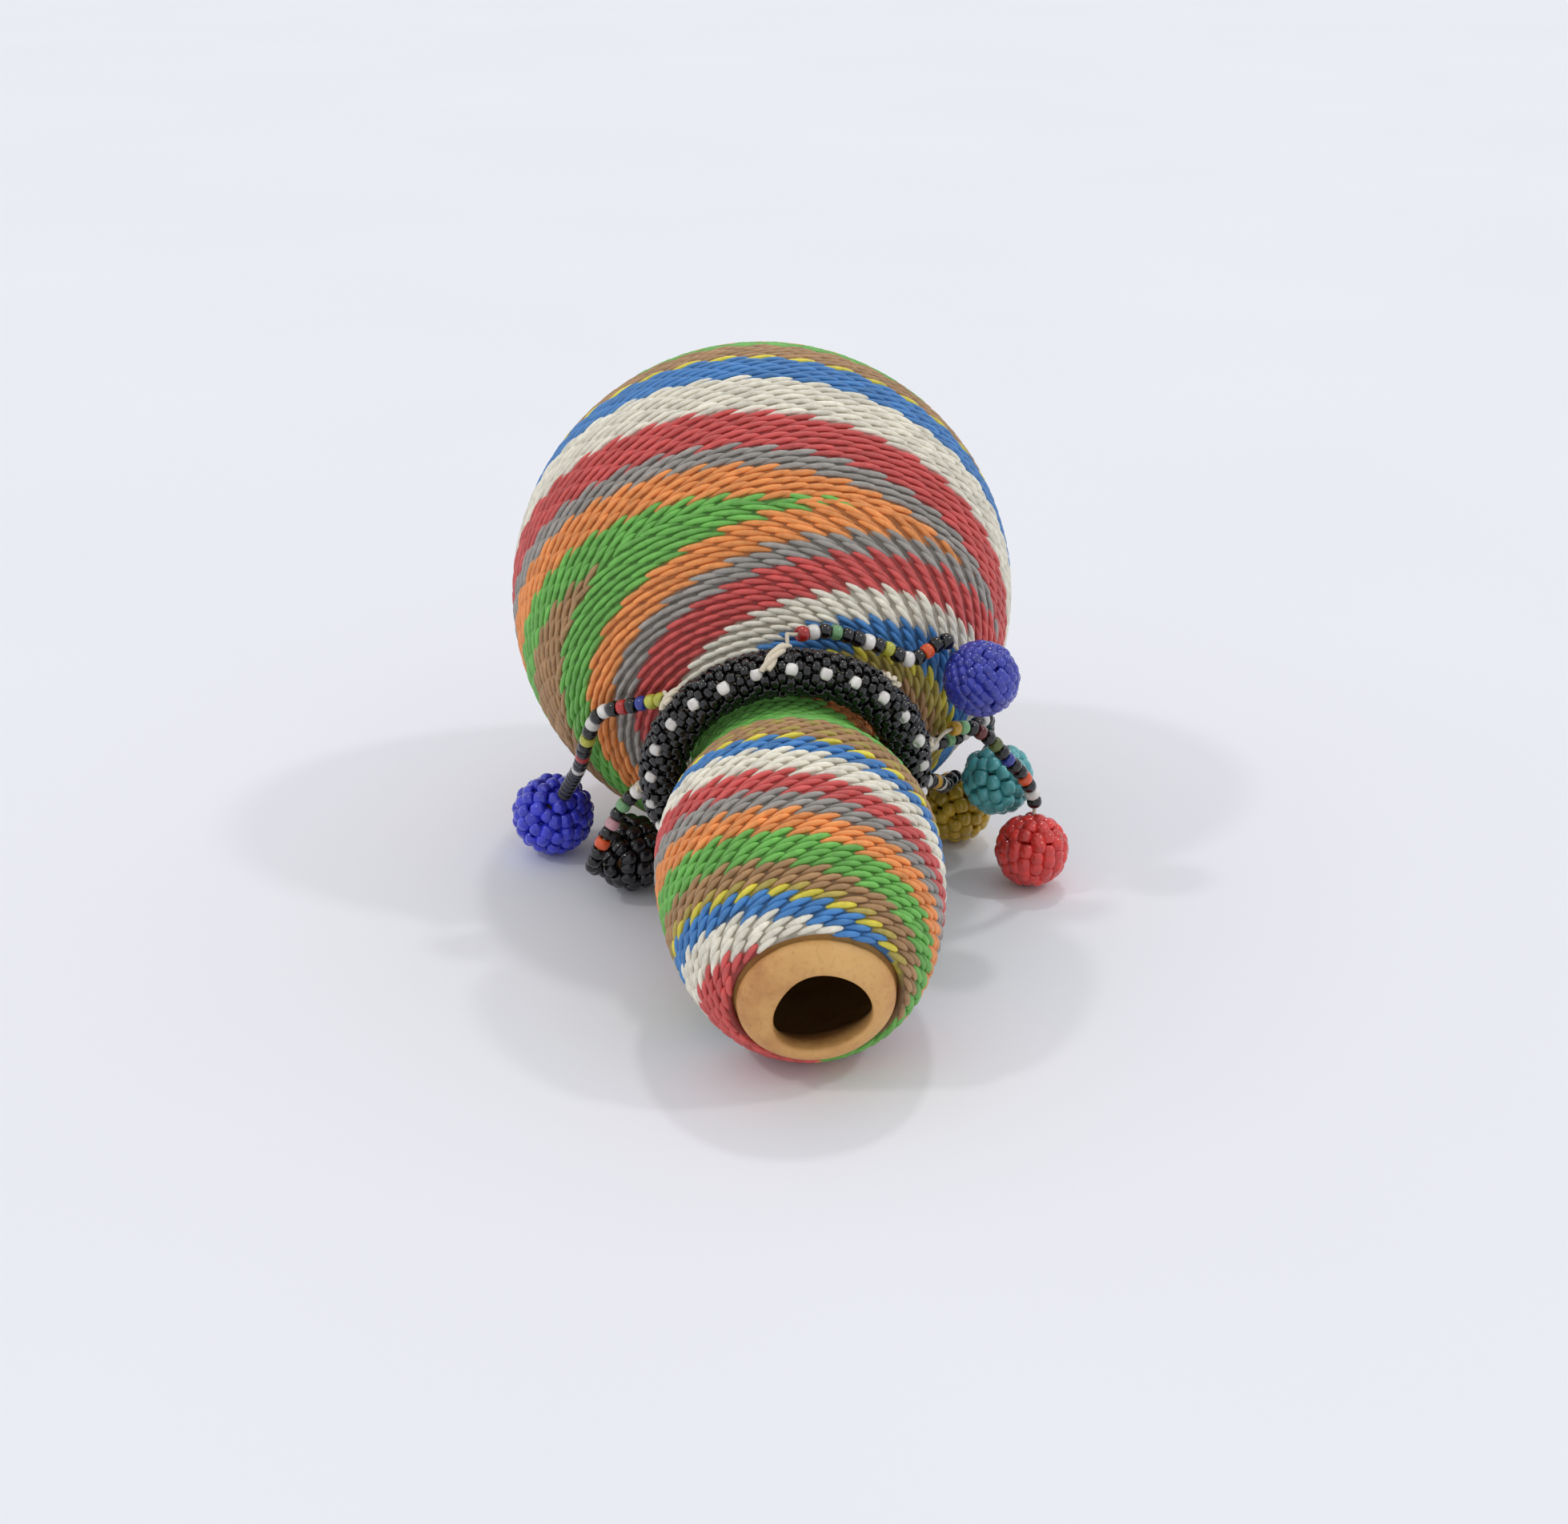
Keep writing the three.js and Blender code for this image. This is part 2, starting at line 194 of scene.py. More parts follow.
def ground_finish():
    """What shows between the stitches: the buried parts of the same wires, in shadow."""
    made = Surface("weave_ground_finish", 0.7)
    shadow = made.ramp(made.noise(700.0, 4.0), [(0.3, (0.3, 0.28, 0.26)), (0.65, (0.5, 0.48, 0.46))])
    made.colour(made.multiply(shadow, made.attribute("tone")))
    made.bump(made.noise(1400.0), 0.6, 0.0002)
    return made.material


def wood_finish():
    """Turned wood inside the beaded balls."""
    made = Surface("core_wood_finish", 0.6)
    grain = made.noise(600.0, 4.0, (1.0, 1.0, 6.0))
    made.colour(made.ramp(grain, [(0.3, linear((122, 86, 52))), (0.7, linear((188, 144, 96)))]))
    made.bump(grain, 0.3, 0.0001)
    return made.material


# ---- mesh helpers ------------------------------------------------------------
def add_object(name, data, finish, body):
    made = bpy.data.objects.new(name, data)
    bpy.context.scene.collection.objects.link(made)
    data.materials.append(finish)
    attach(made, body)
    return made


def add_mesh(name, points, faces, tone, finish, body, uv=None):
    """A mesh of many closed copies of the same faces. points is (copy, vertex, xyz), tone is
    one brightness or colour for each vertex, and uv, where given, a place for each corner."""
    copies, size = points.shape[:2]
    corners = np.concatenate([np.array(f) for f in faces])
    sizes = np.tile([len(f) for f in faces], copies)
    loops = (corners[None, :] + np.arange(copies)[:, None] * size).ravel()
    mesh = bpy.data.meshes.new(name)
    mesh.vertices.add(copies * size)
    mesh.vertices.foreach_set("co", np.ascontiguousarray(points, np.float32).ravel())
    mesh.loops.add(len(loops))
    mesh.loops.foreach_set("vertex_index", loops.astype(np.int32))
    mesh.polygons.add(len(sizes))
    mesh.polygons.foreach_set("loop_start", (np.cumsum(sizes) - sizes).astype(np.int32))
    mesh.polygons.foreach_set("use_smooth", np.ones(len(sizes), bool))
    mesh.update(calc_edges=True)
    layer = mesh.attributes.new("tone", "FLOAT_COLOR", "POINT")
    tone = np.asarray(tone)
    rgb = tone if tone.ndim == 3 else np.broadcast_to(tone, (copies, size))[..., None]
    rgba = np.ones((copies, size, 4), np.float32)
    rgba[..., :3] = rgb
    layer.data.foreach_set("color", rgba.ravel())
    if uv is not None:
        made = mesh.uv_layers.new(name="OFBake")
        made.data.foreach_set("uv", np.ascontiguousarray(uv, np.float32).ravel())
    return add_object(name, mesh, finish, body)


def tube_faces(rings, sides):
    """Quads between rings of vertices, ring by ring."""
    faces = []
    for ring in range(rings - 1):
        for side in range(sides):
            near = ring * sides + side
            beside = ring * sides + (side + 1) % sides
            faces.append((near, beside, beside + sides, near + sides))
    return faces


def capped_faces(rings, sides):
    """A closed rod: its rings, then one vertex for each tip."""
    first, last = rings * sides, rings * sides + 1
    faces = tube_faces(rings, sides)
    for side in range(sides):
        after = (side + 1) % sides
        far = (rings - 1) * sides
        faces.append((first, after, side))
        faces.append((last, far + side, far + after))
    return faces


def ring_faces(section, sides):
    """A closed ring-shaped bead: `section` vertices round its wall, `sides` round its hole."""
    faces = []
    for side in range(sides):
        for step in range(section):
            a = side * section + step
            b = side * section + (step + 1) % section
            c = ((side + 1) % sides) * section + (step + 1) % section
            d = ((side + 1) % sides) * section + step
            faces.append((a, d, c, b))
    return faces


def add_line(name, points, radius, finish, body, cyclic=False):
    """A round thread through points, in metres."""
    data = bpy.data.curves.new(name, "CURVE")
    data.dimensions = "3D"
    data.bevel_depth = radius
    data.bevel_resolution = 3
    data.use_fill_caps = not cyclic
    spline = data.splines.new("POLY")
    spline.points.add(len(points) - 1)
    spline.use_cyclic_u = cyclic
    spline.points.foreach_set("co", np.c_[points, np.ones(len(points))].ravel())
    return add_object(name, data, finish, body)


# ---- seed beads --------------------------------------------------------------
BEAD_SECTION = 10
BEAD_SIDES = 14
BEAD_FACES = ring_faces(BEAD_SECTION, BEAD_SIDES)


def unit_bead(hole, square):
    """A bead of radius 1 and half length 1, its hole along Z. At `square` 1 its shoulders are
    round, and below that they grow squarer."""
    wall = np.linspace(0, 2 * np.pi, BEAD_SECTION, endpoint=False)
    around = np.linspace(0, 2 * np.pi, BEAD_SIDES, endpoint=False)
    radial = np.sign(np.cos(wall)) * np.abs(np.cos(wall)) ** square
    along = np.sign(np.sin(wall)) * np.abs(np.sin(wall)) ** square
    reach = (1 + hole) / 2 + (1 - hole) / 2 * radial
    x = reach[None, :] * np.cos(around)[:, None]
    y = reach[None, :] * np.sin(around)[:, None]
    z = np.broadcast_to(along, x.shape)
    return np.dstack([x, y, z]).reshape(-1, 3)


SEED_BEAD = unit_bead(0.3, 0.9)
ROUND_BEAD = unit_bead(0.06, 1.0)


def place_beads(centres, holes, radius, length, shape):
    """Copies of the bead at centres, each hole along its direction: (bead, vertex, xyz)."""
    holes = holes / np.linalg.norm(holes, axis=1)[:, None]
    helper = np.where(np.abs(holes[:, 2:]) < 0.9, [[0.0, 0.0, 1.0]], [[1.0, 0.0, 0.0]])
    side = np.cross(helper, holes)
    side /= np.linalg.norm(side, axis=1)[:, None]
    third = np.cross(holes, side)
    size = random.uniform(0.95, 1.04, (len(centres), 1, 1))
    local = shape[None] * size
    return (centres[:, None]
            + side[:, None] * local[..., :1] * radius
            + third[:, None] * local[..., 1:2] * radius
            + holes[:, None] * local[..., 2:] * length / 2)


def add_beads(name, centres, holes, radius, length, finish, body, slot, shape=SEED_BEAD):
    points = place_beads(np.array(centres), np.array(holes), radius, length, shape)
    tone = random.uniform(0.86, 1.08, (len(centres), 1))
    return add_mesh(name, points, BEAD_FACES, tone, finish, body)


BEAD_COLOURS = {
    "black": (11, 11, 14),
    "white": (232, 228, 222),
    "blue": (40, 58, 150),
    "red": (186, 44, 40),
    "green": (120, 172, 118),
    "lime": (196, 196, 70),
    "orange": (226, 88, 36),
    "pink": (214, 160, 166),
    "gold": (210, 160, 40),
    "brown": (104, 36, 30),
    "olive": (92, 104, 40),
}
BEAD_FINISH = {name: glass_finish(f"{name}_bead_finish", rgb) for name, rgb in BEAD_COLOURS.items()}
COTTON = cotton_finish("cream_thread_finish", (222, 210, 186))


# ---- strands -----------------------------------------------------------------
THREAD_R = 0.25 * MM
BEAD_R = 1.04 * MM
BEAD_PITCH = 1.48 * MM
THREAD_STOPS = 2.1 * MM    # the thread ends this far inside the ball's far side
BALL_CLEAR = 0.45 * MM     # no strand bead has its middle nearer to a ball than this
BEAD_FILL = 0.98           # how much of its pitch a strand bead fills
BALL_BEAD_R = 0.95 * MM
BALL_SWELL = 1.14          # a ball's beads press into each other by this much
BALL_BEAD_LENGTH = 2.15    # in bead radii, as are the spacings below
BALL_ROW_STEP = 1.9
BALL_RIB_STEP = 1.72       # between ribs at the ball's widest
BALL_CROWDING = 1.4        # the least room for a bead, so fewer of them fit near a pole

# Each strand: its body, its ball's centre and radius, how much thread is bare at the collar,
# its ball's colour, its route in metres, and its beads' colours from the collar to the ball.
# ball_bead_r and ball_row_step are there where a ball's beads are smaller or its rows closer.
STRANDS = {
    "blue": {
        "body": "blue_dangle", "centre": (-0.0300, 0.0143, 0.00585), "r": 0.0058,
        "bare": 0.0018, "ball": (56, 62, 212),
        "route": [
            (-0.0151, -0.0128, 0.0343), (-0.0151, -0.0105, 0.0325), (-0.0188, -0.0081, 0.0308),
            (-0.0232, -0.0054, 0.0286), (-0.0250, -0.0034, 0.0240), (-0.0259, 0.0006, 0.0192),
            (-0.0270, 0.0058, 0.0148), (-0.0282, 0.0094, 0.0111), (-0.0292, 0.0122, 0.0081)],
        "beads": "lime lime blue black red black white black white black lime black black red "
                 "black black white black black",
    },
    "black": {
        "body": "black_dangle", "centre": (-0.0196, 0.0019, 0.00535), "r": 0.0053,
        "bare": 0.0018, "ball": (24, 23, 27),
        "route": [
            (-0.0178, -0.0091, 0.0205), (-0.0167, -0.0063, 0.0197), (-0.0204, -0.0042, 0.0152),
            (-0.0224, -0.0044, 0.0118), (-0.0242, -0.0046, 0.0082), (-0.0247, -0.0028, 0.0055),
            (-0.0217, -0.0001, 0.0054)],
        "beads": "black black white black green black pink black orange black black",
    },
    "purple": {
        "body": "purple_dangle", "centre": (0.0256, -0.0089, 0.0332), "r": 0.0050,
        "bare": 0.0024, "ball": (54, 62, 174), "ball_bead_r": 0.00072, "ball_row_step": 1.55,
        "route": [
            (0.0000, -0.0157, 0.0426), (0.0015, -0.0133, 0.0416), (0.0054, -0.0122, 0.0415),
            (0.0094, -0.0116, 0.0401), (0.0131, -0.0107, 0.0384), (0.0162, -0.0104, 0.0367),
            (0.0212, -0.0081, 0.0381), (0.0238, -0.0086, 0.0352)],
        "beads": "red white black green black black white black lime black white black orange",
    },
    "red": {
        "body": "right_bunch", "centre": (0.0346, -0.0015, 0.00515), "r": 0.0051,
        "bare": 0.0050, "ball": (226, 60, 55), "ball_row_step": 1.45,
        "route": [
            (0.0185, -0.0101, 0.0230), (0.0216, -0.0066, 0.0250), (0.0252, -0.0042, 0.0244),
            (0.0280, -0.0034, 0.0224), (0.0306, -0.0029, 0.0192), (0.0332, -0.0016, 0.0158),
            (0.0349, -0.0004, 0.0118), (0.0347, -0.0010, 0.0079)],
        "beads": "gold green black brown black olive black blue black black orange black white black",
    },
    "teal": {
        "body": "right_bunch", "centre": (0.0310, 0.0061, 0.0124), "r": 0.0051,
        "bare": 0.0050, "ball": (90, 180, 184),
        "route": [
            (0.0184, -0.0099, 0.0222), (0.0176, -0.0070, 0.0226), (0.0239, -0.0021, 0.0224),
            (0.0284, 0.0026, 0.0228), (0.0295, 0.0069, 0.0189), (0.0304, 0.0064, 0.0151)],
        "beads": "white black green black white black black white black",
    },
    "ochre": {
        "body": "right_bunch", "centre": (0.0266, 0.0135, 0.00515), "r": 0.0051,
        "bare": 0.0050, "ball": (206, 168, 44),
        "route": [
            (0.0183, -0.0096, 0.0215), (0.0151, -0.0074, 0.0194), (0.0192, -0.0026, 0.0165),
            (0.0219, 0.0012, 0.0145), (0.0239, 0.0074, 0.0111), (0.0258, 0.0104, 0.0110),
            (0.0263, 0.0122, 0.0076)],
        "beads": "white gold brown black white black gold black white black black",
    },
}


def through(points, steps=24):
    """A smooth line through the points: centripetal Catmull-Rom."""
    held = np.array([2 * points[0] - points[1], *points, 2 * points[-1] - points[-2]])
    gaps = np.sqrt(np.linalg.norm(np.diff(held, axis=0), axis=1))
    line = []
    for i in range(1, len(held) - 2):
        a, b, c, d = held[i - 1:i + 3]
        before, here, after = gaps[i - 1:i + 2]
        leave = (b - a) / before - (c - a) / (before + here) + (c - b) / here
        arrive = (c - b) / here - (d - b) / (here + after) + (d - c) / after
        t = np.linspace(0, 1, steps, endpoint=False)[:, None]
        line.append((2 * t ** 3 - 3 * t ** 2 + 1) * b + (t ** 3 - 2 * t ** 2 + t) * leave * here
                    + (3 * t ** 2 - 2 * t ** 3) * c + (t ** 3 - t ** 2) * arrive * here)
    return np.vstack([*line, held[-2][None]])


def arc_lengths(line):
    return np.concatenate([[0.0], np.cumsum(np.linalg.norm(np.diff(line, axis=0), axis=1))])


def at_length(line, lengths, where):
    return np.column_stack([np.interp(where, lengths, line[:, axis]) for axis in range(3)])


def ball_beads(centre, axis, radius, bead, row_step):
    """Centres and hole directions of the beads stitched over a ball in ribs, pole to pole.
    row_step is their spacing along a rib, in bead radii."""
    reach = radius - BALL_SWELL * bead
    side = np.cross(axis, (0.31, 0.17, 0.94))
    side /= np.linalg.norm(side)
    third = np.cross(axis, side)
    ribs = 2 * int(round(np.pi * reach / (BALL_RIB_STEP * bead)))
    rows = int(round(np.pi * reach / (row_step * bead)))
    centres, holes = [], []
    for row, polar in enumerate(np.linspace(0.2, np.pi - 0.16, rows)):
        room = 2 * np.pi * reach * math.sin(polar) / (BALL_CROWDING * bead)
        count = ribs if room >= ribs else max(3, int(room))
        for place in range(count):
            turn = 2 * np.pi * place / count + random.normal(0, 0.03)
            lean = polar + place % 2 / 2 * row_step * bead / reach * math.sin(polar) ** 2
            lean += random.normal(0, 0.03)
            out = math.cos(turn) * side + math.sin(turn) * third
            bulge = reach + random.normal(0, 0.06) * bead
            centres.append(centre + bulge * (math.cos(lean) * axis + math.sin(lean) * out))
            holes.append(math.cos(lean) * out - math.sin(lean) * axis)
    return centres, holes


def add_strand(name, spec):
    centre = np.array(spec["centre"])
    entry = np.array(spec["route"][-1])
    axis = (entry - centre) / np.linalg.norm(entry - centre)
    tail = [centre, centre - axis * (spec["r"] - THREAD_STOPS)]
    line = through(np.array([*spec["route"], *tail]))
    lengths = arc_lengths(line)
    length = lengths[-1]
    body = spec["body"]
    thread = add_line(f"{name}_strand_thread", line, THREAD_R, COTTON, body)
    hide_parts(f"{name}_thread")

    pitch = length / round(length / BEAD_PITCH)
    first = math.ceil(spec["bare"] / pitch)
    middles = np.arange(first + 0.5, length / pitch) * pitch
    centres = at_length(line, lengths, middles)
    clear = np.linalg.norm(centres - centre, axis=1) > spec["r"] + BALL_CLEAR
    centres, middles = centres[clear], middles[clear]
    step = 0.2 * MM
    holes = at_length(line, lengths, middles + step) - at_length(line, lengths, middles - step)
    holes += random.normal(0, 0.05, holes.shape) * np.linalg.norm(holes, axis=1)[:, None]
    order = spec["beads"].split()
    colours = (order + ["black"] * len(centres))[:len(centres)]
    for colour in dict.fromkeys(colours):
        picked = [i for i, c in enumerate(colours) if c == colour]
        add_beads(
            f"{name}_strand_{colour}_beads", centres[picked], holes[picked], BEAD_R,
            BEAD_FILL * pitch, BEAD_FINISH[colour], body, f"{name}_seed_beads")
    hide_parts(f"{name}_beads")

    ball_finish = glass_finish(f"{name}_ball_finish", spec["ball"])
    bead = spec.get("ball_bead_r", BALL_BEAD_R)
    row_step = spec.get("ball_row_step", BALL_ROW_STEP)
    ball = add_beads(f"{name}_beaded_ball", *ball_beads(centre, axis, spec["r"], bead, row_step),
                     BALL_SWELL * bead, BALL_BEAD_LENGTH * bead, ball_finish, body,
                     f"{name}_ball_beads", ROUND_BEAD)
    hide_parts(f"{name}_ball")
    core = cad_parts[f"{name}_core"]
    core.data.materials.clear()
    core.data.materials.append(CORE_WOOD)


CORE_WOOD = wood_finish()
for strand_name, strand in STRANDS.items():
    add_strand(strand_name, strand)


# ---- the gourd's outline, in millimetres ---------------------------------------
BOWL_R = 34.7
BOWL_ENDS_AT = 30.0
NECK_AT = 57.5
NECK_R = 17.7
NECK_BACK = 20.5
NECK_STARTS = 12.0
MOUTH_AT = 80.3
MOUTH_R = 10.07
WAIST_HANDLES = (8.5, 7.5)
TILT = math.radians(15.97)
BOWL_CENTRE = np.array((0.0, 23.1, 34.35))
COLLAR_AT = 38.8           # 0.8 nearer the mouth than in the CAD model
COLLAR_R = 15.6
SKIN = 1.7                 # depth of the gourd's skin under the weaving
WALL = 2.2
# (radius, axial) points over the rim, from the skin to the hollow.
LIP = [(8.95, 79.3), (9.15, 79.85), (8.9, 80.7), (8.0, 81.6), (6.8, 82.2),
       (6.1, 82.2), (5.75, 81.9), (5.8, 80.4), (6.7, 78.6)]

TO_MOUTH = np.array((0.0, -math.cos(TILT), -math.sin(TILT)))
UPWARD = np.array((0.0, -math.sin(TILT), math.cos(TILT)))
ACROSS = np.array((1.0, 0.0, 0.0))


def bezier(a, b, c, d, t):
    a, b, c, d = (np.array(p) for p in (a, b, c, d))
    return (1 - t) ** 3 * a + 3 * (1 - t) ** 2 * t * b + 3 * (1 - t) * t ** 2 * c + t ** 3 * d


def gourd_outline():
    """(radius, axial) points from the bottom of the big bulb to the mouth."""
    t = np.linspace(0, 1, 500)[:, None]
    bowl_end = math.asin(BOWL_ENDS_AT / BOWL_R)
    neck_start = -math.asin(NECK_STARTS / NECK_BACK)
    a = -np.pi / 2 + (bowl_end + np.pi / 2) * t
    bowl = BOWL_R * np.hstack([np.cos(a), np.sin(a)])
    b = neck_start * (1 - t)
    neck = np.hstack([NECK_R * np.cos(b), NECK_AT + NECK_BACK * np.sin(b)])
    leave = WAIST_HANDLES[0] * np.array((-math.sin(bowl_end), math.cos(bowl_end)))
    arrive = np.array((-NECK_R * math.sin(neck_start), NECK_BACK * math.cos(neck_start)))
    arrive *= WAIST_HANDLES[1] / np.linalg.norm(arrive)
    waist = bezier(bowl[-1], bowl[-1] + leave, neck[0] - arrive, neck[0], t)
    shoulder = bezier((NECK_R, NECK_AT), (NECK_R, NECK_AT + 9.5), (14.9, 77.0), (MOUTH_R, MOUTH_AT), t)
    return np.vstack([bowl, waist[1:], neck[1:], shoulder[1:]])


OUTLINE = gourd_outline()
ARC = arc_lengths(OUTLINE)
RUN = np.gradient(OUTLINE, ARC, axis=0)
RUN /= np.linalg.norm(RUN, axis=1)[:, None]


def out_from_axis(angle):
    """Direction away from the gourd's axis. 0 is its top, and +90 degrees is toward +X."""
    return np.cos(angle)[..., None] * UPWARD + np.sin(angle)[..., None] * ACROSS


def surface(s, angle, depth):
    """Points in metres and outward normals, at arc lengths s and a depth, in millimetres."""
    s, angle, depth = np.broadcast_arrays(s, angle, depth)
    radius, axial = (np.interp(s, ARC, OUTLINE[:, i]) for i in (0, 1))
    d_radius, d_axial = (np.interp(s, ARC, RUN[:, i]) for i in (0, 1))
    out = out_from_axis(angle)
    normal = out * d_axial[..., None] - TO_MOUTH * d_radius[..., None]
    point = BOWL_CENTRE + TO_MOUTH * axial[..., None] + out * radius[..., None]
    return (point - normal * depth[..., None]) * MM, normal


def radius_at(s):
    return np.interp(s, ARC, OUTLINE[:, 0])


# ---- wire stitches -----------------------------------------------------------
WIRE = {
    "green": (115, 188, 84),
    "orange": (246, 156, 84),
    "red": (214, 88, 84),
    "cream": (243, 237, 219),
    "blue": (70, 134, 198),
    "grey": (162, 157, 150),
    "brown": (178, 138, 94),
    "yellow": (236, 220, 72),
    "olive": (184, 166, 80),
}
WIRE_FINISH = {name: wire_finish(f"{name}_wire_finish", rgb) for name, rgb in WIRE.items()}

STITCH_SIDES = 8
STITCH_AT = np.array([0.04, 0.14, 0.3, 0.5, 0.7, 0.87, 0.96])
STITCH_FAT = np.array([0.4, 0.7, 0.92, 1.0, 0.98, 0.8, 0.45])
STITCH_FACES = capped_faces(len(STITCH_AT), STITCH_SIDES)
STITCH_REACH = 1.55        # a stitch is this much longer than the places it passes over
WIRE_R = 0.39
COIL_WIRE_R = 0.42
COIL_PITCH = 0.8
COIL_STARTS = 0.4
GROUND_TOP = 0.66          # depths of the layer between the stitches and the gourd
GROUND_BOTTOM = 1.38


def bowing(angle):
    """How far the rows bow back toward the big bulb away from the top, from 0 to 1.25."""
    return 1.25 * (1 - np.exp(-angle ** 2 / 2.2))


def sequence(*runs):
    """The colour of each wire in order, from (colour, how many) pairs."""
    return [colour for colour, count in runs for _ in range(count)]


class Weave:
    """Rows of stitches: wires that climb together round the gourd, `spokes` stitch places
    round it, each stitch passing over `over` of them."""

    def __init__(self, start, wires, row, hand, bow, sway, colour):
        self.start, self.wires, self.row, self.hand = start, wires, row, hand
        self.bow, self.sway, self.colour = bow, sway, colour

    def bowed(self, along, angle):
        """Where a row at an unbowed arc length really lies."""
        return along - np.interp(along, *self.bow) * bowing(angle) - self.sway * np.sin(angle)

    def climb(self, angle):
        return self.hand * self.row * self.wires * angle / (2 * np.pi)

    def stitches(self, first, last, spokes, over):
        """(row number, angle, arc length) of each stitch of rows first to last - 1.
        Row 0 begins at `start` where it passes over the top."""
        rows, places = np.meshgrid(np.arange(first, last), np.arange(spokes), indexing="ij")
        angle = 2 * np.pi / spokes * places - np.pi
        here = (places * self.hand - rows) % over == 0
        along = self.start + self.row * (rows + 0.5) + self.climb(angle)
        return rows[here], angle[here], self.bowed(along, angle)[here]

    def colours_at(self, s, angle):
        """The colour of the row that passes each place."""
        along = s
        for _ in range(6):
            along = along + s - self.bowed(along, angle)
        rows = np.floor((along - self.start - self.climb(angle)) / self.row).astype(int)
        return [self.colour(row) for row in rows.ravel()]


def stitch_shapes(along, angle, length, lean, hand):
    """Capsules lying in the surface, thin and tucked under at the tail: (stitch, vertex, xyz)."""
    t = STITCH_AT if hand > 0 else 1 - STITCH_AT
    t = np.concatenate([t, [0.0, 1.0] if hand > 0 else [1.0, 0.0]])
    tail = 1 - np.concatenate([STITCH_AT, [0.0, 1.0]])
    run = (t[None, :] - 0.5) * length[:, None]
    turn = angle[:, None] + run / radius_at(along)[:, None]
    s = along[:, None] + lean[:, None] * run
    s = np.clip(s, 0.2, ARC[-1] - 0.2)
    depth = 0.47 + 0.5 * tail ** 2.5 + 0.3 * (1 - tail) ** 6
    middle, normal = surface(s, turn, depth[None, :])
    rings = middle[:, :len(STITCH_AT)]
    course = np.gradient(rings, axis=1)
    course /= np.linalg.norm(course, axis=2)[..., None]
    beside = np.cross(normal[:, :len(STITCH_AT)], course)
    around = np.linspace(0, 2 * np.pi, STITCH_SIDES, endpoint=False) + np.pi / STITCH_SIDES
    fat = random.uniform(0.94, 1.06, (len(along), 1)) * STITCH_FAT[None, :] * WIRE_R * MM
    lift = np.cos(around)[None, None, :, None] * normal[:, :len(STITCH_AT), None]
    sway = np.sin(around)[None, None, :, None] * beside[:, :, None]
    shell = rings[:, :, None] + fat[:, :, None, None] * (lift + sway)
    shell = shell.reshape(len(along), -1, 3)
    place = np.repeat(turn[:, :len(STITCH_AT)], STITCH_SIDES, axis=1)
    height = np.repeat(s[:, :len(STITCH_AT)], STITCH_SIDES, axis=1)
    place = np.hstack([place, turn[:, -2:]])
    height = np.hstack([height, s[:, -2:]])
    width = np.tile(np.sin(around) * WIRE_R, len(STITCH_AT))
    height[:, :-2] += width[None, :]
    points = np.hstack([shell, middle[:, -2:]])
    points[..., 2] = np.maximum(points[..., 2], OVER_FLOOR)
    return points, place, height


def stitch_uv(place, height):
    """Map places: round the gourd by along it, the hidden underside beside the top."""
    corners = np.concatenate([np.array(f) for f in STITCH_FACES])
    under = np.zeros(len(corners), bool)
    at = 0
    for face in STITCH_FACES:
        ring = [v % STITCH_SIDES for v in face if v < len(STITCH_AT) * STITCH_SIDES]
        middle = np.mean([math.cos(2 * np.pi * (v + 0.5) / STITCH_SIDES) for v in ring])
        under[at:at + len(face)] = middle < 0
        at += len(face)
    u = place[:, corners] / (2 * np.pi) + 0.5
    v = (height[:, corners] / ARC[-1] + under[None, :]) / 2
    return np.clip(np.dstack([u, v]), 0, 1)


def add_stitches(region, colours, along, angle, length, lean, hand):
    """One piece for each colour of a region's stitches, their tucked tails darkened with painted shade."""
    tail = 1 - np.concatenate([STITCH_AT, [0.0, 1.0]])
    # painted shade: each stitch grows darker toward the tail it tucks under its neighbours
    tail_shade = 1 - 0.3 * np.concatenate([np.repeat(tail[:-2], STITCH_SIDES), tail[-2:]]) ** 3
    faces = STITCH_FACES if hand > 0 else [f[::-1] for f in STITCH_FACES]
    pieces = []
    for colour in dict.fromkeys(colours):
        picked = np.array([c == colour for c in colours])
        points, place, height = stitch_shapes(
            along[picked], angle[picked], length[picked], lean[picked], hand)
        # tone is each stitch's own random tone times the painted shade at its tail
        tone = random.uniform(0.84, 1.1, (picked.sum(), 1)) * tail_shade[None, :]
        uv = stitch_uv(place, height)
        if hand < 0:
            uv = flipped_corners(uv)
        pieces.append(add_mesh(f"{region}_{colour}_wires", points, faces, tone,
                               WIRE_FINISH[colour], "gourd", uv))
    return pieces


def flipped_corners(uv):
    """Corner places in the order that reversed faces name their corners."""
    order = []
    at = 0
    for face in STITCH_FACES:
        order += range(at + len(face) - 1, at - 1, -1)
        at += len(face)
    return uv[:, order]


def jitter(count, spread):
    return random.uniform(-spread, spread, count)


# Where the weaving changes hand: arc length at each angle in degrees.
TURN_LINE = ((-180, -120, -90, -58, 0, 52, 76, 180),
             (69.5, 73.4, 75.2, 74.3, 75.7, 72.9, 70.7, 69.5))

FAR_BANDS = sequence(("green", 6), ("orange", 6), ("grey", 4), ("red", 8), ("cream", 10),
                     ("blue", 8), ("yellow", 1), ("brown", 8))
NEAR_BANDS = sequence(("orange", 6), ("grey", 4), ("red", 7), ("cream", 6), ("blue", 6),
                      ("yellow", 1), ("olive", 3), ("brown", 4), ("green", 8))
NECK_BANDS = sequence(("blue", 4), ("cream", 6), ("red", 5), ("grey", 4), ("orange", 5),
                      ("green", 6), ("brown", 4), ("olive", 1), ("yellow", 1))
COIL_R = 7.3
WAIST_S = 98.3


def turn_line(angle):
    return np.interp(np.degrees(angle), *TURN_LINE)


def far_colour(row):
    return FAR_BANDS[(-1 - row) % len(FAR_BANDS)] if row < 0 else "brown"


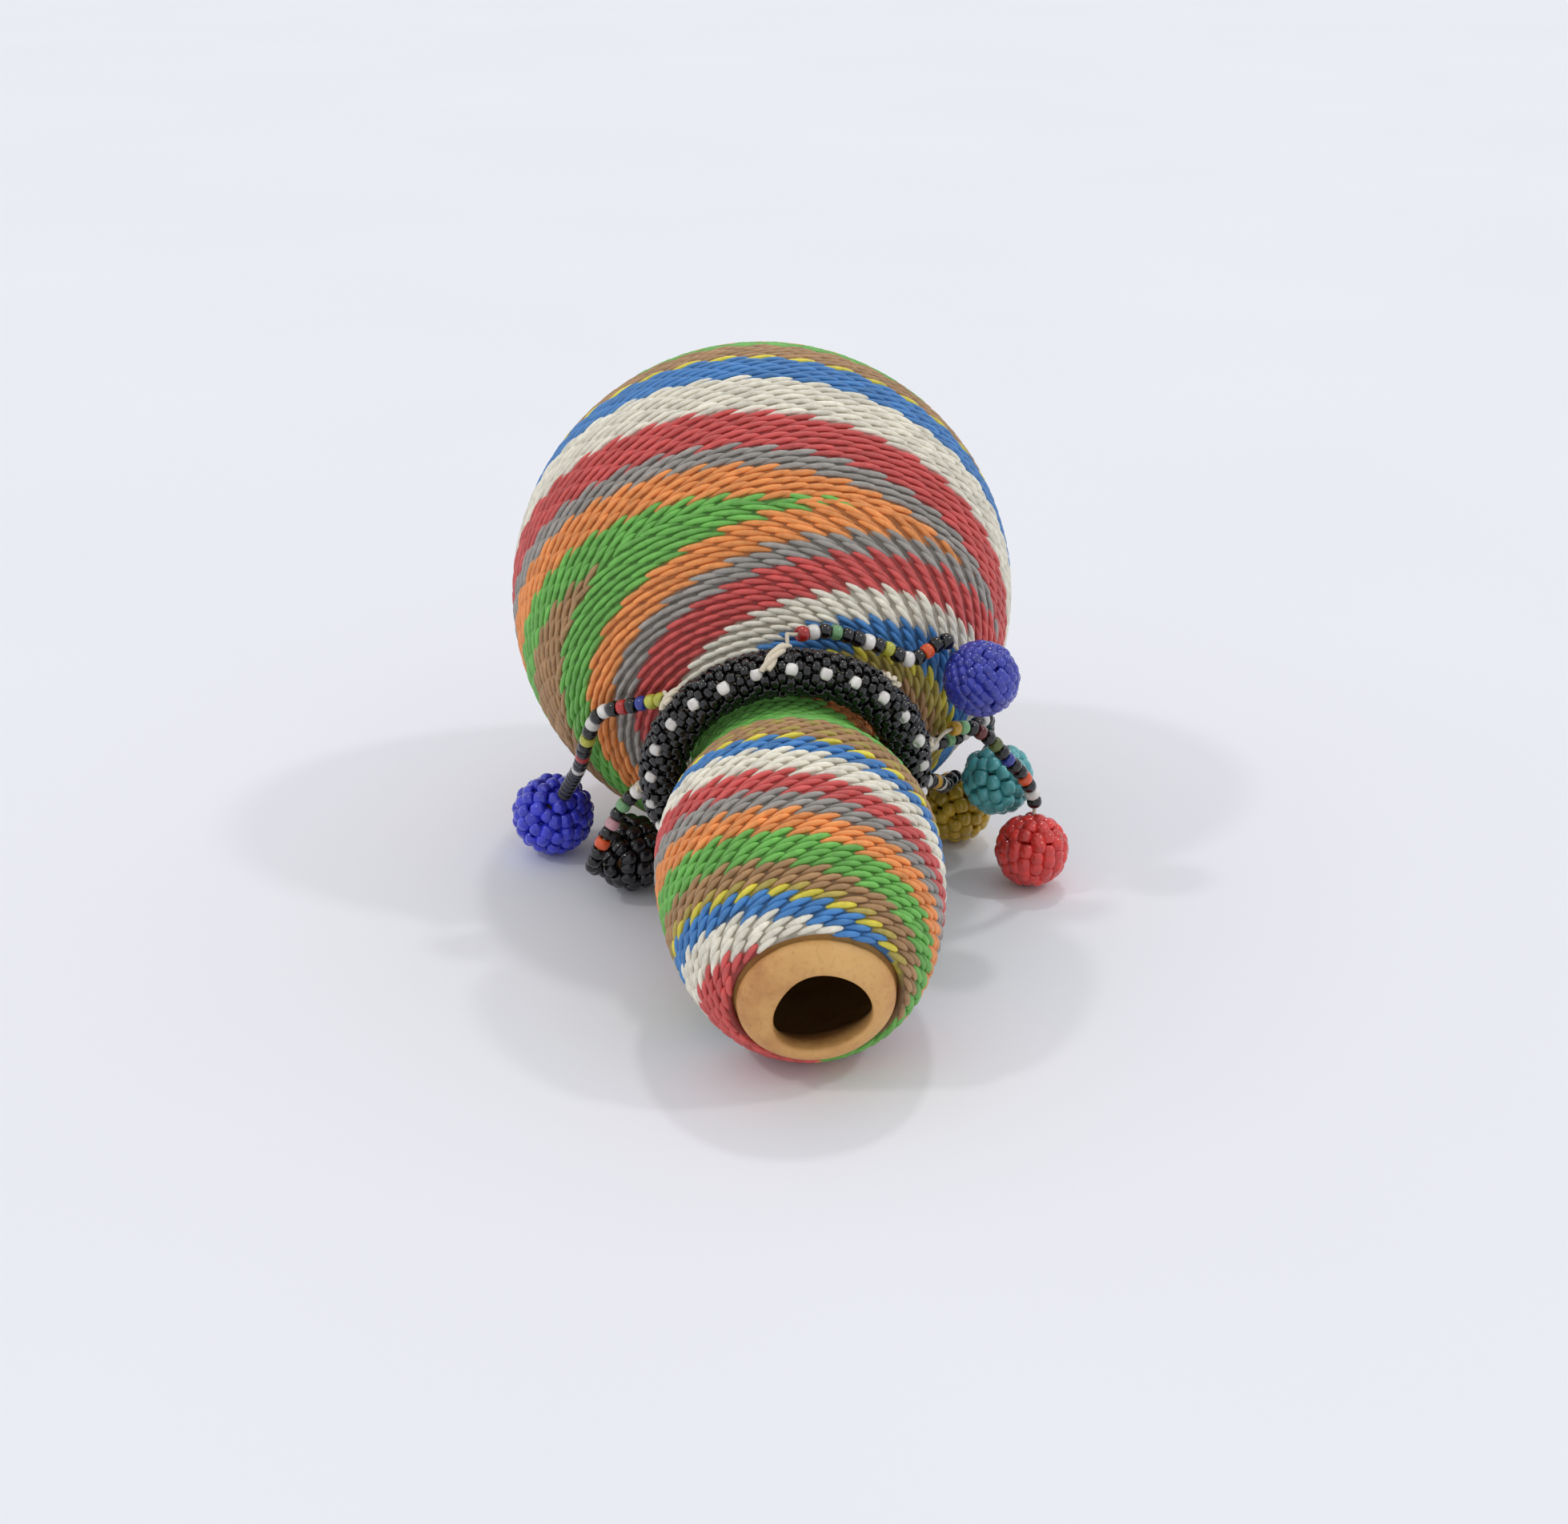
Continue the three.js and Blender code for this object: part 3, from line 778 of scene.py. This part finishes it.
def near_colour(row):
    return NEAR_BANDS[row % len(NEAR_BANDS)] if row >= -8 else "brown"


def neck_colour(row):
    if row > 50:
        return "red"
    if row >= 0:
        return NECK_BANDS[row % len(NECK_BANDS)]
    if row == -1:
        return "yellow"
    if row >= -10:
        return "olive" if row % 4 == 0 else "brown"
    return "green" if row >= -26 else "orange"


FAR = Weave(79.8, 51, 0.745, 1, ((30, 45, 58, 76), (1.0, 2.4, 3.6, 4.0)), 1.8, far_colour)
NEAR = Weave(77.2, 45, 0.69, -1, ((88, 102), (5.6, 1.5)), 1.0, near_colour)
NECK = Weave(117.7, 36, 0.685, 1, ((0, 140), (0.8, 0.8)), -0.35, neck_colour)


def woven(region, weave, runs, first, last, lean, kept):
    """The stitches of a region. runs are (spokes, over, from, to) in arc length."""
    along, angle, length, colours = [], [], [], []
    for spokes, over, low, high in runs:
        rows, turn, s = weave.stitches(first, last, spokes, over)
        here = (s > low) & (s <= high) & kept(s, turn)
        along.append(s[here])
        angle.append(turn[here])
        length.append((over - 1) * 2 * np.pi * radius_at(s[here]) / spokes * STITCH_REACH)
        colours += [weave.colour(row) for row in rows[here]]
    along, angle, length = (np.concatenate(x) for x in (along, angle, length))
    count = len(along)
    return add_stitches(region, colours, along + jitter(count, 0.06), angle + jitter(count, 0.005),
                        length * (1 + jitter(count, 0.08)), lean + jitter(count, 0.03),
                        weave.hand)


def weaving():
    """The big bulb up to the turn line, the shoulder slanting the other way, the small bulb."""
    woven("bowl", FAR, ((43, 4, COIL_R, 11.5), (83, 4, 11.5, 22.0), (163, 4, 22.0, 84.0)), -120, 30,
          -0.17, lambda s, angle: s < turn_line(angle) + 0.25)
    woven("shoulder", NEAR, ((90, 3, 60.0, WAIST_S),), -40, 60,
          0.17, lambda s, angle: s > turn_line(angle) - 0.1)
    woven("neck", NECK, ((72, 3, WAIST_S, 141.0), (60, 3, 141.0, ARC[-1] - 0.4)), -50, 70,
          -0.22, lambda s, angle: s > 0)


def lathe_faces(rings, sides):
    """The same closed rod facing the other way, for rings that run toward the mouth."""
    faces = capped_faces(rings, sides)
    return [f[::-1] for f in faces]


def weave_ground():
    """The buried layer between the stitches and the gourd, one closed skin."""
    sides, outer_rings, inner_rings = 220, 260, 30
    outer = np.linspace(0.6, ARC[-1] - 0.25, outer_rings)
    s = np.concatenate([outer, np.linspace(outer[-1], outer[0], inner_rings)])
    depth = np.concatenate([np.full(outer_rings, GROUND_TOP), np.full(inner_rings, GROUND_BOTTOM)])
    angle = np.linspace(-np.pi, np.pi, sides, endpoint=False)
    rings = surface(s[:, None], angle[None, :], depth[:, None])[0].reshape(-1, 3)
    tips = surface(np.array([0.0, 0.0]), np.zeros(2), np.array([GROUND_TOP, GROUND_BOTTOM]))[0]
    points = np.vstack([rings, tips])
    points[:, 2] = np.maximum(points[:, 2], OVER_FLOOR)
    s, angle = (x.ravel() for x in np.meshgrid(s, angle, indexing="ij"))
    near_mouth = s > WAIST_S
    near_bowl = ~near_mouth & (s < turn_line(angle))
    tone = np.full((len(points), 3), 0.5)
    for here, weave in ((near_mouth, NECK), (near_bowl, FAR), (~near_mouth & ~near_bowl, NEAR)):
        names = weave.colours_at(s[here], angle[here])
        tone[:-2][here] = [linear(WIRE[name]) for name in names]
    made = add_mesh("weave_ground", points[None], lathe_faces(outer_rings + inner_rings, sides),
                    tone[None], ground_finish(), "gourd")
    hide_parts("bowl_weave", "shoulder_weave", "neck_weave")


def coil_finish():
    """The same wire in green, without a tone for each stitch."""
    base = linear(WIRE["green"])
    made = Surface("coil_wire_finish", 0.42)
    made.colour(made.ramp(made.noise(900.0, 4.0), [
        (0.3, shaded(base, 0.75)), (0.55, base), (0.8, shaded(base, 1.15))]))
    made.bump(made.noise(2600.0), 0.25, 0.00004)
    return made.material


def base_coil():
    """The weaving starts as one wire wound in a flat spiral."""
    turns = (COIL_R - COIL_STARTS) / COIL_PITCH
    t = np.linspace(0, 1, int(turns * 48))
    s = COIL_STARTS + t * (COIL_R - COIL_STARTS)
    points = surface(s, t * turns * 2 * np.pi, np.full_like(t, 0.45))[0]
    made = add_line("base_coil_wire", points, COIL_WIRE_R * MM, coil_finish(), "gourd")
    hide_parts("base_coil")


weaving()
weave_ground()
base_coil()


# ---- the gourd itself --------------------------------------------------------
def gourd():
    """The gourd's wall: skin, rounded rim and hollow, with a hand-cut hole, the hollow darkened with
    painted shade.
    """
    sides, rings = 96, 70
    skin = np.linspace(2.0, ARC[-1], rings)
    depths = ((SKIN, skin), (SKIN + WALL, skin[::-1]))
    walls = []
    for depth, s in depths:
        radius = np.interp(s, ARC, OUTLINE[:, 0]) - np.interp(s, ARC, RUN[:, 1]) * depth
        axial = np.interp(s, ARC, OUTLINE[:, 1]) + np.interp(s, ARC, RUN[:, 0]) * depth
        walls.append(np.c_[radius, axial])
    lip = through(np.c_[np.array(LIP), np.zeros(len(LIP))], 6)[:, :2]
    profile = np.vstack([walls[0], lip, walls[1]])
    inner_side = np.concatenate([np.zeros(rings), np.linspace(0, 1, len(lip)), np.ones(rings)])
    mouth = np.clip((profile[:, 1] - 66) / 12, 0, 1)
    cut = np.clip(inner_side * 1.4 - 0.4, 0, 1) * mouth
    angle = np.linspace(-np.pi, np.pi, sides, endpoint=False)
    uneven = 0.06 * np.cos(2 * angle - 1.1) + 0.055 * np.cos(3 * angle + 0.6)
    radius = profile[:, :1] * (1 + cut[:, None] * uneven[None, :])
    out = out_from_axis(angle)
    points = BOWL_CENTRE + TO_MOUTH * profile[:, None, 1:] + out[None] * radius[..., None]
    points = points + cut[:, None, None] * (0.75 * ACROSS - 0.45 * UPWARD)
    wander = 0.12 * np.sin(2 * angle + 0.4) + 0.08 * np.sin(5 * angle)
    points = points + (mouth * (inner_side < 1))[:, None, None] * wander[None, :, None] * TO_MOUTH * 0.6
    tips = np.array([profile[0, 1], profile[-1, 1]])[:, None] * TO_MOUTH + BOWL_CENTRE
    points = np.vstack([points.reshape(-1, 3), tips])[None] * MM
    # painted shade: the inner wall grows darker deeper into the hollow, its far tip darkest
    inside = np.clip((82.0 - profile[:, 1]) / 5, 0, 1) * (inner_side > 0.75)
    tone = np.concatenate([np.repeat(1 - 0.55 * inside, sides), [1.0, 0.45]])
    made = add_mesh("gourd", points, lathe_faces(len(profile), sides), tone[None, :],
                    gourd_finish(), "gourd")
    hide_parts("gourd_bowl", "gourd_neck")


gourd()


# ---- collar ------------------------------------------------------------------
KNOT_HALF = 9.0
COLLAR_ROWS = 97
COLLAR_AROUND = 11
WHITE_EVERY = 4
ROPE_BEAD_AT = 2.42        # from the middle of the rope
BLACK_BEAD = (0.64 * MM, 1.2 * MM)      # radius and length
WHITE_BEAD = (0.82 * MM, 1.5 * MM)
WHITE_LIFT = 0.12
PLY_R = 0.66
PLY_AT = 0.62
PLY_TURNS = 28
LASHING_AT = 2.6
KNOT_AT = 2.75
FRAYED_AT = 3.05
FRAYED_R = 0.36
WHITE_LINE = -50.0         # degrees round the rope, 0 away from the gourd, - toward the mouth


def rope_point(angle, turn, reach):
    """A point in metres on the rope, and the direction round the rope there, at an angle
    round the gourd, a turn round the rope and a reach from its middle, in millimetres."""
    angle, turn = np.broadcast_arrays(angle, turn)
    out = out_from_axis(angle)
    middle = BOWL_CENTRE + TO_MOUTH * COLLAR_AT + out * COLLAR_R
    away = np.cos(turn)[..., None] * out - np.sin(turn)[..., None] * TO_MOUTH
    round_rope = -np.sin(turn)[..., None] * out - np.cos(turn)[..., None] * TO_MOUTH
    return (middle + away * np.asarray(reach)[..., None]) * MM, round_rope


def collar_beads():
    """Black beads in staggered rows round the rope, and one line of bigger white ones. The
    black ones are two pieces, left and right, to keep each mesh to a moderate size."""
    rows, places = np.meshgrid(np.arange(COLLAR_ROWS), np.arange(COLLAR_AROUND), indexing="ij")
    rows, places = rows.ravel(), places.ravel()
    span = math.radians(180 - KNOT_HALF - 1)
    angle = -span + 2 * span * rows / (COLLAR_ROWS - 1) + jitter(len(rows), 0.014)
    step = 360 / COLLAR_AROUND
    turn = np.radians(WHITE_LINE + step * (places + rows % 2 / 2)) + jitter(len(rows), 0.08)
    white = (rows % WHITE_EVERY == 0) & (places == 0)
    reach = ROPE_BEAD_AT + jitter(len(rows), 0.14) + WHITE_LIFT * white
    centres, holes = rope_point(angle, turn, reach)
    holes = holes + random.normal(0, 0.16, holes.shape)
    for side, half in (("left", angle < 0), ("right", angle >= 0)):
        here = half & ~white
        add_beads(f"collar_black_beads_{side}", centres[here], holes[here],
                                *BLACK_BEAD, BEAD_FINISH["black"], "gourd", "collar_beads")
    add_beads("collar_white_beads", centres[white], holes[white], *WHITE_BEAD,
              BEAD_FINISH["white"], "gourd", "collar_beads", ROUND_BEAD)
    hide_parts("collar_beadwork")


def collar_core():
    """Three twisted plies of cotton cord."""
    steps = 600
    for ply in range(3):
        angle = np.linspace(-np.pi, np.pi, steps, endpoint=False)
        turn = PLY_TURNS * angle + ply * 2 * np.pi / 3
        points = rope_point(angle, turn, np.full(steps, PLY_AT))[0]
        add_line(f"collar_cord_ply_{ply + 1}", points, PLY_R * MM, COTTON, "gourd",
                              cyclic=True)
    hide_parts("collar_core")


def lashing(name, node, degrees, half_width, turns, reach, thread, finish):
    """Thread wound round the rope, side by side."""
    t = np.linspace(-1, 1, int(turns * 40))
    angle = math.radians(degrees) + t * math.radians(half_width)
    wobble = 0.06 * np.sin(t * 11 + degrees)
    points = rope_point(angle, np.pi * turns * t + 0.7, reach + wobble)[0]
    made = add_line(name, points, thread * MM, finish, "gourd")
    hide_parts(node)


def strand_root(name, leaves_at):
    """The still end of a strand's thread, from the middle of the rope to where it swings."""
    reach = np.array(leaves_at) / MM - BOWL_CENTRE
    angle = math.atan2(reach @ ACROSS, reach @ UPWARD)
    middle = rope_point(np.array(angle), np.array(0.0), 0.0)[0]
    add_line(f"{name}_strand_root", np.array([middle, leaves_at]), THREAD_R, COTTON, "gourd")


def frayed_knot(side, degrees, low, high, drift):
    """Three frayed ends of cream thread laid together over the rope, from one turn round it
    to another while they drift along it."""
    for end in range(3):
        t = np.linspace(0, 1, 24)
        twist = 5 * t + end * 2 * np.pi / 3
        angle = np.radians(degrees + drift * t) + 0.028 * np.cos(twist)
        turn = np.radians(low + (high - low) * t)
        points = rope_point(angle, turn, FRAYED_AT + 0.3 * np.sin(twist))[0]
        add_line(f"tie_{side}_end_{end + 1}", points, FRAYED_R * MM, COTTON, "gourd")


# Each lashing's place round the gourd, and its frayed knot's place, turns and drift in degrees.
LASHINGS = {
    "left": (-57, (-50, 52, 0, -5)),
    "lower_left": (-104, (-100, 40, 0, 4)),
    "top": (0, (-1, 34, -44, -9)),
    "upper_right": (64, (43, 56, 6, 3)),
    "right": (98, (84, 50, 12, -4)),
}


def collar():
    collar_beads()
    collar_core()
    lashing("collar_knot_thread", "collar_knot", 180, 7.6, 9, KNOT_AT, 0.3,
            COTTON)
    dark = cotton_finish("dark_thread_finish", (38, 34, 34))
    for side, (degrees, knot) in LASHINGS.items():
        lashing(f"tie_{side}_lashing", f"tie_{side}", degrees, 1.4, 2,
                LASHING_AT, 0.2, dark)
        frayed_knot(side, *knot)
    for name, spec in STRANDS.items():
        strand_root(name, spec["route"][0])


collar()


# ---- floor and light ---------------------------------------------------------
def floor():
    half = 4.0
    mesh = bpy.data.meshes.new("floor")
    mesh.from_pydata([(-half, -half, 0), (half, -half, 0), (half, half, 0), (-half, half, 0)], [],
                     [(0, 1, 2, 3)])
    made = bpy.data.objects.new("floor", mesh)
    bpy.context.scene.collection.objects.link(made)
    paint = Surface("floor_finish", 0.7)
    pale = linear((236, 237, 242))
    paint.colour(paint.ramp(paint.noise(9.0, 2.0), [(0.3, shaded(pale, 0.985)), (0.7, pale)]))
    mesh.materials.append(paint.material)


def lamp(name, place, strength):
    """A large soft lamp far away, shining from a place toward the gourd."""
    data = bpy.data.lights.new(name, "SUN")
    data.angle = math.radians(4.5)
    data.energy = strength
    made = bpy.data.objects.new(name, data)
    made.rotation_euler = (-Vector(place)).to_track_quat("-Z", "Y").to_euler()
    bpy.context.scene.collection.objects.link(made)


def light():
    world = bpy.data.worlds.new("studio")
    world.use_nodes = True
    sky = world.node_tree.nodes["Background"]
    sky.inputs["Color"].default_value = (0.96, 0.97, 1.0, 1.0)
    sky.inputs["Strength"].default_value = 0.76
    bpy.context.scene.world = world
    lamp("back_lamp", (0.15, 0.5, 1.0), 0.36)
    lamp("left_lamp", (-0.8, -0.2, 0.95), 0.35)
    lamp("right_lamp", (0.85, -0.1, 0.95), 0.35)


floor()
light()
bpy.context.scene.view_settings.view_transform = "Standard"
